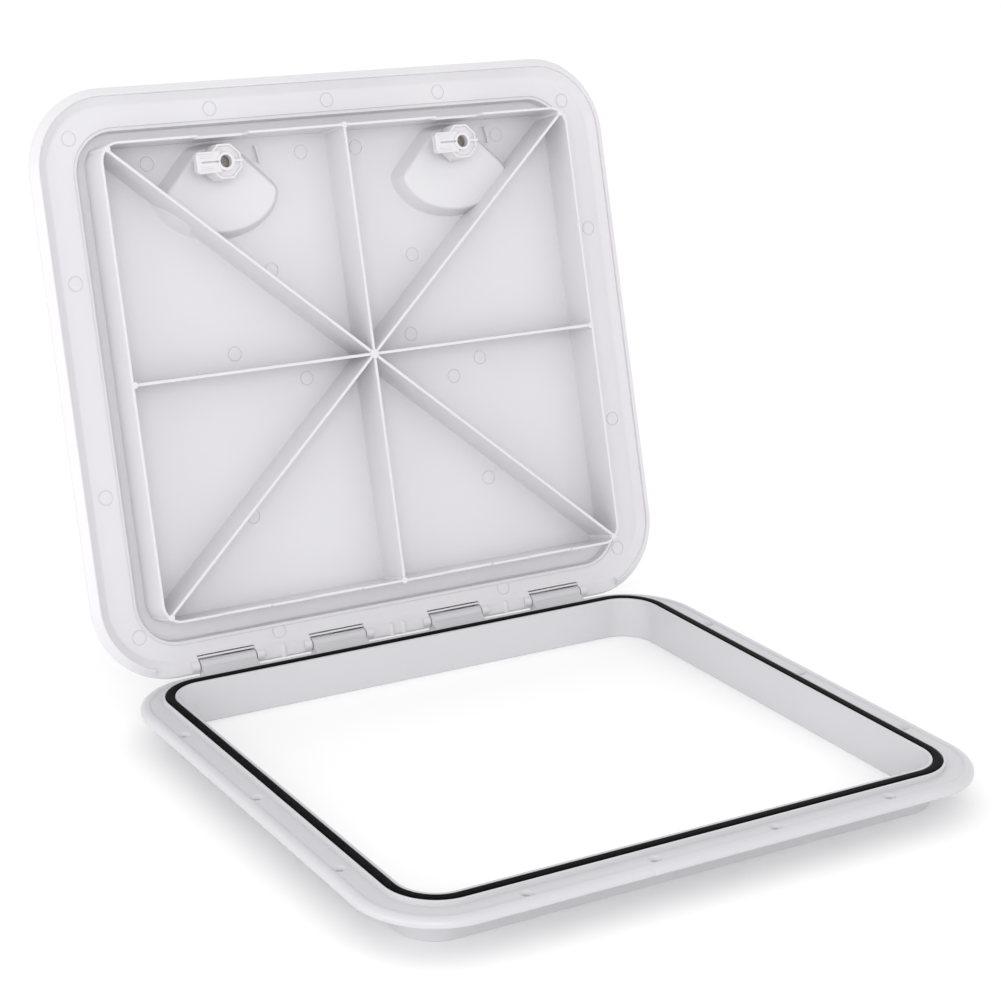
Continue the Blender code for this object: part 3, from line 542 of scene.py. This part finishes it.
lid_piece = as_object("lid_moulding", lid_shell())
print("lid skin faces:", len(lid_piece.data.polygons))

# %% [markdown]
# ## Ribs, skirt and posts
# A skirt hangs below the panel and drops inside the frame, and eight ribs run from a centre post to its
# corners and sides. A mould needs draft, so each rib is thinner at its free edge. Round posts stand in the
# centre and at the rib ends.


# %% Stiffening under the lid
ROOT = 9.5  # ribs, skirt and posts start inside the panel's skin, so that they join it
RIB_EDGE = -25.0
POST_END = -25.7
RIB_HALF = 1.5
DRAFT = 0.77  # how much of its thickness a rib keeps at its free edge


def skirt_shape():
    skirt = profile_ring(211.4, -409.7, -38.0, 16, ROOT,
                         [(0.3, 34.6), (0.25, 0.3), (1.6, 0), (0.25, -0.3), (0.1, -34.6)], up=False)
    loops = open_loops(skirt)
    bmesh.ops.bridge_loops(skirt, edges=loops[0] + loops[1])
    return skirt


def rib_shape(x0, y0, x1, y1):
    """A rib that thins from 3 mm at the panel to 2.3 mm at its free edge."""
    length = math.hypot(x1 - x0, y1 - y0)
    rib = box((0, -RIB_HALF, RIB_EDGE), (length, RIB_HALF, ROOT))
    low = [v for v in rib.verts if v.co.z < 0]
    bmesh.ops.scale(rib, verts=low, vec=(1, DRAFT, 1))
    turn = Matrix.Rotation(math.atan2(y1 - y0, x1 - x0), 4, "Z")
    return moved(rib, Matrix.Translation((x0 * MM, y0 * MM, 0)) @ turn)


CENTRE_Y = -223.85
RIB_ENDS = ((209.5, CENTRE_Y), (0, -408.2), (205.6, -403.9), (205.6, -43.8))


def rib_shapes():
    shapes = []
    for x, y in RIB_ENDS:
        far_y = 2 * CENTRE_Y - y
        shapes.append(rib_shape(-x, far_y, x, y))
    return shapes


def post_shapes():
    """A round post in the centre and a thinner one at each rib end."""
    shapes = [rod((0, CENTRE_Y, POST_END), (0, CENTRE_Y, ROOT), 3.8, 4.6)]
    for x, y in RIB_ENDS:
        for sx, py in ((1, y), (-1, 2 * CENTRE_Y - y)):
            px = sx * x - (math.copysign(0.9, sx * x) if x else 0)
            shapes.append(rod((px, py, POST_END), (px, py, ROOT), 2.6, 3.1, sides=24))
    return shapes


combine(lid_piece, [skirt_shape(), *rib_shapes(), *post_shapes()], "UNION")
print("lid with ribs:", len(lid_piece.data.polygons), "faces")

# %% [markdown]
# ## The latch dishes
# Each latch turns in a fan-shaped dish that is sunk in the lid's outer side, so it stands out below. The
# fan is a wide ellipse between two straight sides at 45 degrees. A circle is made for each level and its
# points are pushed out along their own rays to the fan's edge, so that all levels bridge neatly. The edge
# comes from a soft minimum of the limits, which rounds the corners where they meet. A short curved ridge
# stands on the panel beside each dish.


# %% Latch dishes
SOFTNESS = 30  # power of the soft minimum: the higher, the tighter its corners


def fan_reach(direction, outward, front):
    """How far the fan reaches from the latch axis in this direction, in mm.

    Its limits are an ellipse centred aside of the axis and nearer the hinge, two slanted sides and a front.
    """
    c, s = direction.x, direction.y
    a, b = 54.5 + outward, 37.6 + 0.7 * outward
    aside, drop = 2.0, 20.0
    p = (c / a) ** 2 + (s / b) ** 2
    q = c * aside / a**2 + s * drop / b**2
    rest = (aside / a) ** 2 + (drop / b) ** 2 - 1
    limits = [(q + math.sqrt(q * q - p * rest)) / p]
    for edge, distance in ((-1, 23.4), (1, 26.0)):
        limits.append((distance + outward) / max((edge * c - s) * math.sqrt(0.5), 0.01))
    limits.append(front / max(-s, 0.01))
    return sum(limit**-SOFTNESS for limit in limits) ** (-1 / SOFTNESS)


def fan_solid(levels):
    """A closed loft through the fan's outline at each (outward, front, height) in mm, from the top down."""
    bm = bmesh.new()
    rings = []
    for outward, front, z in levels:
        verts = bmesh.ops.create_circle(bm, segments=144, radius=1)["verts"]
        for v in verts:
            v.co *= fan_reach(v.co, outward, front) * MM
            v.co.z = z * MM
        rings.append(list({e for v in verts for e in v.link_edges}))
    for upper, lower in zip(rings, rings[1:]):
        bmesh.ops.bridge_loops(bm, edges=upper + lower)
    bmesh.ops.holes_fill(bm, edges=rings[0] + rings[-1], sides=0)
    return bm


def dish_shapes(x):
    bulge = fan_solid(((1.8, 21.3, 9.6), (0.6, 21.3, 8.4), (-0.2, 21.3, 7.2), (-4.9, 21.3, -1.6),
                       (-5.5, 21.3, -2.7), (-6.4, 21.1, -3.5), (-7.6, 20.6, -3.9), (-8.8, 20.0, -4.0)))
    boss = rod((0, 0, -7.0), (0, 0, 0), 9.0, 9.4, sides=48)
    return [moved(shape, Matrix.Translation((x, LATCH_Y, 0))) for shape in (bulge, boss)]


def dish_cutters(x):
    pocket = fan_solid(((-0.4, 18.5, 13.0), (-7.2, 18.5, 0.6), (-7.9, 18.0, -0.6), (-9.0, 17.0, -1.0)))
    bore = rod((0, 0, -8), (0, 0, 0), 5.0, sides=48)
    return [moved(shape, Matrix.Translation((x, LATCH_Y, 0))) for shape in (pocket, bore)]


def beside_ridge(x):
    """The short curved ridge on the panel beside the dish."""
    bm = bmesh.new()
    made = bmesh.ops.create_grid(bm, x_segments=1, y_segments=1, size=0.5)["verts"]
    bmesh.ops.transform(bm, verts=made, matrix=Matrix.Rotation(math.pi / 2, 4, "X"))
    bmesh.ops.scale(bm, verts=made, vec=(1.6 * MM, 1, 4.6 * MM))
    bmesh.ops.translate(bm, verts=made, vec=(42.6 * MM, 0, 7.0 * MM))
    bmesh.ops.rotate(bm, verts=made, matrix=Matrix.Rotation(math.radians(-18), 3, "Z"))
    bmesh.ops.spin(bm, geom=bm.faces[:], cent=(0, 0, 0), axis=(0, 0, 1), angle=math.radians(18), steps=10)
    return moved(bm, Matrix.Translation((x, LATCH_Y, 0)))


for latch_x in LATCH_X.values():
    combine(lid_piece, [*dish_shapes(latch_x), beside_ridge(latch_x)], "UNION")
    combine(lid_piece, dish_cutters(latch_x), "DIFFERENCE")
print("lid with dishes:", len(lid_piece.data.polygons), "faces")

# %% [markdown]
# ## Hinge side
# The rim is cut away over each barrel, and two knuckles beside it take the pin. Behind the barrel a thin
# hood closes the window, and a bar across it leaves two narrow slits. Four small nubs meet the back of the
# frame when the lid is open and so carry it. The return lip is shallower here, because it has to pass the
# frame as the lid turns.


# %% Hinge windows, knuckles and nubs
WINDOW_HALF = 24.7
HOOD_HALF = 26.0
KNUCKLE_LENGTH = 6.5
NUB = 2.6  # radius
NUB_START, NUB_END, NUB_Z = -2.6, 5.7, -1.2


def window_cutters():
    """A window over each barrel, and one long cut that leaves the return lip shallow at the hinges."""
    shapes = [box((x - WINDOW_HALF, -8.4, -12), (x + WINDOW_HALF, 12, 12)) for x in HINGES_X]
    shapes.append(box((-215, -12, -12), (215, 12, -2.5)))
    return shapes


def hood_shapes():
    """For each barrel the hood's roof, its back wall and the bar between the slits."""
    shapes = []
    for x in HINGES_X:
        x0, x1 = x - HOOD_HALF, x + HOOD_HALF
        shapes.append(box((x0, -9.6, 5.4), (x1, 0.5, 6.8)))
        shapes.append(box((x0, -9.6, 0.6), (x1, -8.4, 6.0)))
        shapes.append(box((x0, -7.4, 0.2), (x1, -5.9, 6.0)))
    return shapes


def knuckle_shapes():
    shapes = []
    for x in HINGES_X:
        for side in (-1, 1):
            near = x + side * 24.9
            shapes.append(rod((near, 0, 0), (near + side * KNUCKLE_LENGTH, 0, 0), BARREL, sides=48))
    return shapes


def nub_shapes():
    """Short round bars across the rim, each with a domed end."""
    shapes = []
    for x in (-104, -5.6, 5.6, 104):
        shapes.append(rod((x, NUB_START, NUB_Z), (x, NUB_END, NUB_Z), NUB, sides=24))
        dome = bmesh.new()
        bmesh.ops.create_uvsphere(dome, u_segments=24, v_segments=12, radius=NUB * MM)
        shapes.append(moved(dome, Matrix.Translation((x * MM, NUB_START * MM, NUB_Z * MM))))
    return shapes


def skirt_notch_cutters():
    """Notches that let the cams' tabs pass in front, and shallow ones at the hinge side."""
    shapes = [box((x / MM - 22, -411, -27), (x / MM + 22, -405.7, -14.8)) for x in LATCH_X.values()]
    for middle, half in ((60.7, 23.6), (140.2, 21.6)):
        for side in (-1, 1):
            x = side * middle
            shapes.append(box((x - half, -42, -27), (x + half, -37, -22.4)))
    return shapes


combine(lid_piece, window_cutters(), "DIFFERENCE")
combine(lid_piece, hood_shapes() + knuckle_shapes() + nub_shapes(), "UNION")
combine(lid_piece, skirt_notch_cutters() + pin_bores(33, 0, 0), "DIFFERENCE")
print("lid with hinges:", len(lid_piece.data.polygons), "faces")

# %% [markdown]
# ## Ejector marks
# Steel pins push the lid out of its mould and leave round witness marks of about 12 mm on the rim and on
# the panel. They are what tells the eye that this is a moulding. The real marks are a tenth or two of a
# millimetre deep; here each is a narrow ring groove of 0.4 mm, which is what it takes to show.

# %% Ejector marks
RIM_MARKS = ((104, 431.9), (0, 431.9), (224.5, 416.7), (235, 306.4), (234.7, 141.3), (223.3, 30.5),
             (105, 15.3))
PANEL_MARKS = ((160, 393.5), (25, 393), (65, 301), (110, 108.3))
LONE_MARKS = ((-106.9, 238), (53.8, 236), (-46.5, 211.6), (89.3, 196.7), (116.6, 209.5))
MARK_INNER, MARK_OUTER, MARK_DEPTH = 5.2, 6.0, 0.4


def mark_cutter(x, distance, z):
    """A groove in the surface at height z, this far from the hinge axis."""
    ring = turned_ring(MARK_INNER, MARK_OUTER, z - 1.0, z + MARK_DEPTH, 48)
    return moved(ring, Matrix.Translation((x * MM, -distance * MM, 0)))


marks = [mark_cutter(side * x, d, 0) for x, d in RIM_MARKS for side in ((-1, 1) if x else (1,))]
marks += [mark_cutter(side * x, d, PANEL) for x, d in PANEL_MARKS for side in (-1, 1)]
marks += [mark_cutter(x, d, PANEL) for x, d in LONE_MARKS]
combine(lid_piece, marks, "DIFFERENCE")
finish_piece(lid_piece, white_abs, "lid", ["lid"], LID_SPACE)

# %% [markdown]
# ## Latch cams
# Under the lid each latch has an eight-sided plastic cam with a tab that turns under a ledge of the
# frame. Its face carries raised lips round a central tube, and a slit and ridges along the tab. The
# octagon is a circle of eight sides, walked into a solid; the tube, tab and ridges are joined to it.


# %% Latch cams
def cam_solid():
    """The cam round its own axis, with its face down and its tab along -x, in metres."""
    hub = bmesh.new()
    bmesh.ops.create_circle(hub, cap_ends=True, segments=8, radius=13.9 * MM / math.cos(math.pi / 8))
    bmesh.ops.rotate(hub, verts=hub.verts, matrix=Matrix.Rotation(math.pi / 8, 3, "Z"))
    bmesh.ops.translate(hub, verts=hub.verts, vec=(0, 0, -8.8 * MM))
    face = hub.faces[:][0]
    if face.normal.z > 0:
        bmesh.ops.reverse_faces(hub, faces=[face])
    bmesh.ops.duplicate(hub, geom=[face])  # the copy stays behind and closes the top
    walk(hub, face, ((0, 14.4), (0.5, 0.9), (1.3, 0), (0.3, -1.9)))
    bmesh.ops.remove_doubles(hub, verts=hub.verts, dist=WELD)
    return hub


def tab_solid():
    """The tab, with its two far upright edges rounded."""
    tab = box((-25.0, -8.5, -24.1), (-4, 8.5, -18.3))
    ends = [e for e in tab.edges if abs(e.verts[0].co.x - e.verts[1].co.x) < 1e-7
            and abs(e.verts[0].co.y - e.verts[1].co.y) < 1e-7 and e.verts[0].co.x < -0.02]
    bmesh.ops.bevel(tab, geom=ends, offset=3.2 * MM, segments=4, profile=0.5, affect="EDGES",
                    material=-1)
    return tab


def cam_details():
    ring = rod((0, 0, -24.9), (0, 0, -20), 7.4, 7.6, sides=48)
    bars = [box((-23.6, y - 0.8, -24.6), (-9.0, y + 0.8, -22.5)) for y in (-7.6, 7.6)]
    bars += [box((-21.5, y - 0.6, -24.6), (-11.0, y + 0.6, -23.2)) for y in (-4.2, 4.2)]
    ridge = box((5.5, -1.0, -24.7), (15.0, 1.0, -21.5))
    web = box((-17.0, -7.0, -19.3), (0, 7.0, -13.0))
    return [ring, *bars, ridge, web]


def cam_cutters():
    slit = box((-20.5, -0.9, -26), (-6.0, 0.4, -22.6))
    bore = rod((0, 0, -27), (0, 0, -16.8), 5.0, 4.9, sides=48)
    screw_hole = rod((0, 0, -18), (0, 0, -14), 2.2)
    square = box((-3.5, -3.5, -15.3), (3.5, 3.5, -8))
    return [slit, bore, screw_hole, square]


for side, latch_x in LATCH_X.items():
    cam = as_object(f"latch_cam_{side}_moulding", cam_solid())
    combine(cam, [tab_solid(), *cam_details()], "UNION")
    combine(cam, cam_cutters(), "DIFFERENCE")
    seat = LID_SPACE @ Matrix.Translation((latch_x, LATCH_Y, 0))
    finish_piece(cam, white_abs, f"latch_{side}", [f"latch_cam_{side}"], seat)

# %% [markdown]
# ## Handles
# On the outer side a paddle lies in each dish and lifts on a cross pin between two ears of the spindle.
# It starts as a box that is narrowed at its root and bevelled all round, and a wide ring then cuts its
# tip to an arc round the latch's axis.


# %% Handles
def paddle_solid(low, high):
    """The paddle along +x, in metres, before its round tip is cut."""
    bm = box((12, -16, low), (52, 16, high))
    root = [v for v in bm.verts if v.co.x < 0.013]
    bmesh.ops.scale(bm, verts=root, vec=(1, 0.8, 1))
    corners = [e for e in bm.edges if abs(e.verts[0].co.z - e.verts[1].co.z) > 1e-3]
    bmesh.ops.bevel(bm, geom=corners, offset=3.5 * MM, segments=6, profile=0.5, affect="EDGES",
                    material=-1)
    rims = [e for e in bm.edges if abs(e.verts[0].co.z - e.verts[1].co.z) < 1e-6
            and e.calc_face_angle(0) > 0.6]
    bmesh.ops.bevel(bm, geom=rims, offset=1.2 * MM, segments=4, profile=0.5, affect="EDGES",
                    material=-1)
    return bm


PIVOT_Z = 7.6
PADDLE_LOW, PADDLE_HIGH = 5.6, 11.2
KNUCKLE = 2.9
HANDLE_PIN_BORE = 1.3
for side, latch_x in LATCH_X.items():
    handle = as_object(f"latch_handle_{side}_moulding", paddle_solid(PADDLE_LOW, PADDLE_HIGH))
    combine(handle, [turned_ring(52, 70, 3.6, 13.2, 96)], "DIFFERENCE")
    stem = box((0, -5.0, 6.2), (14, 5.0, 10.2))
    knuckle = rod((0, -5.0, PIVOT_Z), (0, 5.0, PIVOT_Z), KNUCKLE)
    combine(handle, [stem, knuckle], "UNION")
    bore = rod((0, -7, PIVOT_Z), (0, 7, PIVOT_Z), HANDLE_PIN_BORE)
    combine(handle, [bore], "DIFFERENCE")
    seat = LID_SPACE @ Matrix.Translation((latch_x, LATCH_Y, 0)) @ Matrix.Rotation(math.pi / 4, 4, "Z")
    finish_piece(handle, white_abs, f"handle_{side}", [f"latch_handle_{side}"], seat)

# %% [markdown]
# ## Metal and rubber that stay as they are
# Pins, spindles, screws, washers and seals already have their right shape in the fixed frame, so they
# keep their meshes and only take the finished materials.

# %% Finishes on the kept pieces
kept = {"hinge_pin": drawn_steel, "handle_pin": drawn_steel, "latch_screw": cast_steel_painted_shade,
        "latch_spindle": cast_steel_painted_shade, "latch_washer": drawn_steel, "latch_seal": rubber}
for name, node in frame["nodes"].items():
    for start, finish in kept.items():
        if name.startswith(start):
            node.data.materials.clear()
            node.data.materials.append(finish)
            node.data.shade_smooth()
            node.data.set_sharp_from_angle(angle=math.radians(30))
print("kept pieces:", sum(name.startswith(tuple(kept)) for name in frame["nodes"]))

# %% [markdown]
# ## Floor, light and camera
# A white fitting on white paper needs gentle light: a bright surround that is a little dimmer overhead,
# one large soft lamp in front on the left, a weaker one low on the left, and a faint one above and behind.
# What gives the shape away is then only the soft shading of its walls and the thin shadow where it stands.
# The camera looks from the front left, a little from above, with a long lens.

# %% Floor
floor_z = cad_low[2]
bpy.ops.mesh.primitive_plane_add(size=12, location=(0, 1.0, floor_z))
floor = bpy.context.object
floor.name = "floor"
paper, paper_shader, paper_place = new_material("matt_white_paper")
paper_tooth = add_node(paper, "ShaderNodeTexNoise", {"Scale": 400.0, "Detail": 2.0},
                       {"Vector": paper_place})
paper_bump = add_node(paper, "ShaderNodeBump", {"Strength": 0.02, "Distance": 0.05 * MM},
                      {"Height": paper_tooth.outputs["Fac"]})
paper.node_tree.links.new(paper_bump.outputs[0], paper_shader.inputs["Normal"])
paper_shader.inputs["Base Color"].default_value = linear("#FFFFFF")
paper_shader.inputs["Roughness"].default_value = 1.0
paper_shader.inputs["Specular IOR Level"].default_value = 0.0
floor.data.materials.append(paper)


# %% Lights
def soft_lamp(name, place, target, size, power):
    data = bpy.data.lights.new(name, "AREA")
    data.shape = "RECTANGLE"
    data.size, data.size_y = size
    data.energy = power
    lamp = bpy.data.objects.new(name, data)
    lamp.location = place
    lamp.rotation_euler = (Vector(target) - Vector(place)).to_track_quat("-Z", "Y").to_euler()
    bpy.context.scene.collection.objects.link(lamp)
    return lamp


soft_lamp("key_lamp", (-1.5, -2.5, 1.3), (0, 0.1, 0.15), (1.6, 1.4), 22)
soft_lamp("fill_lamp", (-2.4, -0.5, 0.5), (0, 0.1, 0.2), (1.4, 1.0), 9)
soft_lamp("top_lamp", (0.2, 0.9, 2.6), (0, 0.1, 0), (2.2, 1.4), 1.5)
HORIZON, ZENITH = 1.15, 0.94  # the surround's strength at the horizon and overhead
world = bpy.data.worlds.new("studio_surround")
world.use_nodes = True
surround = world.node_tree.nodes["Background"]
way = add_node(world, "ShaderNodeTexCoord")
height = add_node(world, "ShaderNodeSeparateXYZ", links={"Vector": way.outputs["Generated"]})
dimmed = add_node(world, "ShaderNodeMapRange", {"To Min": HORIZON, "To Max": ZENITH},
                  {"Value": height.outputs["Z"]})
world.node_tree.links.new(dimmed.outputs[0], surround.inputs["Strength"])
surround.inputs["Color"].default_value = linear("#FFFFFF")
bpy.context.scene.world = world
bpy.context.scene.view_settings.view_transform = "Standard"

# %% Camera
camera_data = bpy.data.cameras.new("camera")
camera = bpy.data.objects.new("camera", camera_data)
bpy.context.scene.collection.objects.link(camera)
camera.location = (-0.8820, -1.3293, 0.7047)
look = Vector((0.4733, 0.8283, -0.3000)).normalized()
level = look.to_track_quat("-Z", "Y").to_matrix().to_4x4()
roll = math.radians(0.57)
camera.rotation_euler = (level @ Matrix.Rotation(roll, 4, "Z")).to_euler()
camera_data.sensor_width = 36
camera_data.lens = 83.98
camera_data.shift_x = 0.0983
camera_data.shift_y = -0.0291
camera_data.clip_start = 0.01
bpy.context.scene.camera = camera
print("camera at", [round(v, 3) for v in camera.location])
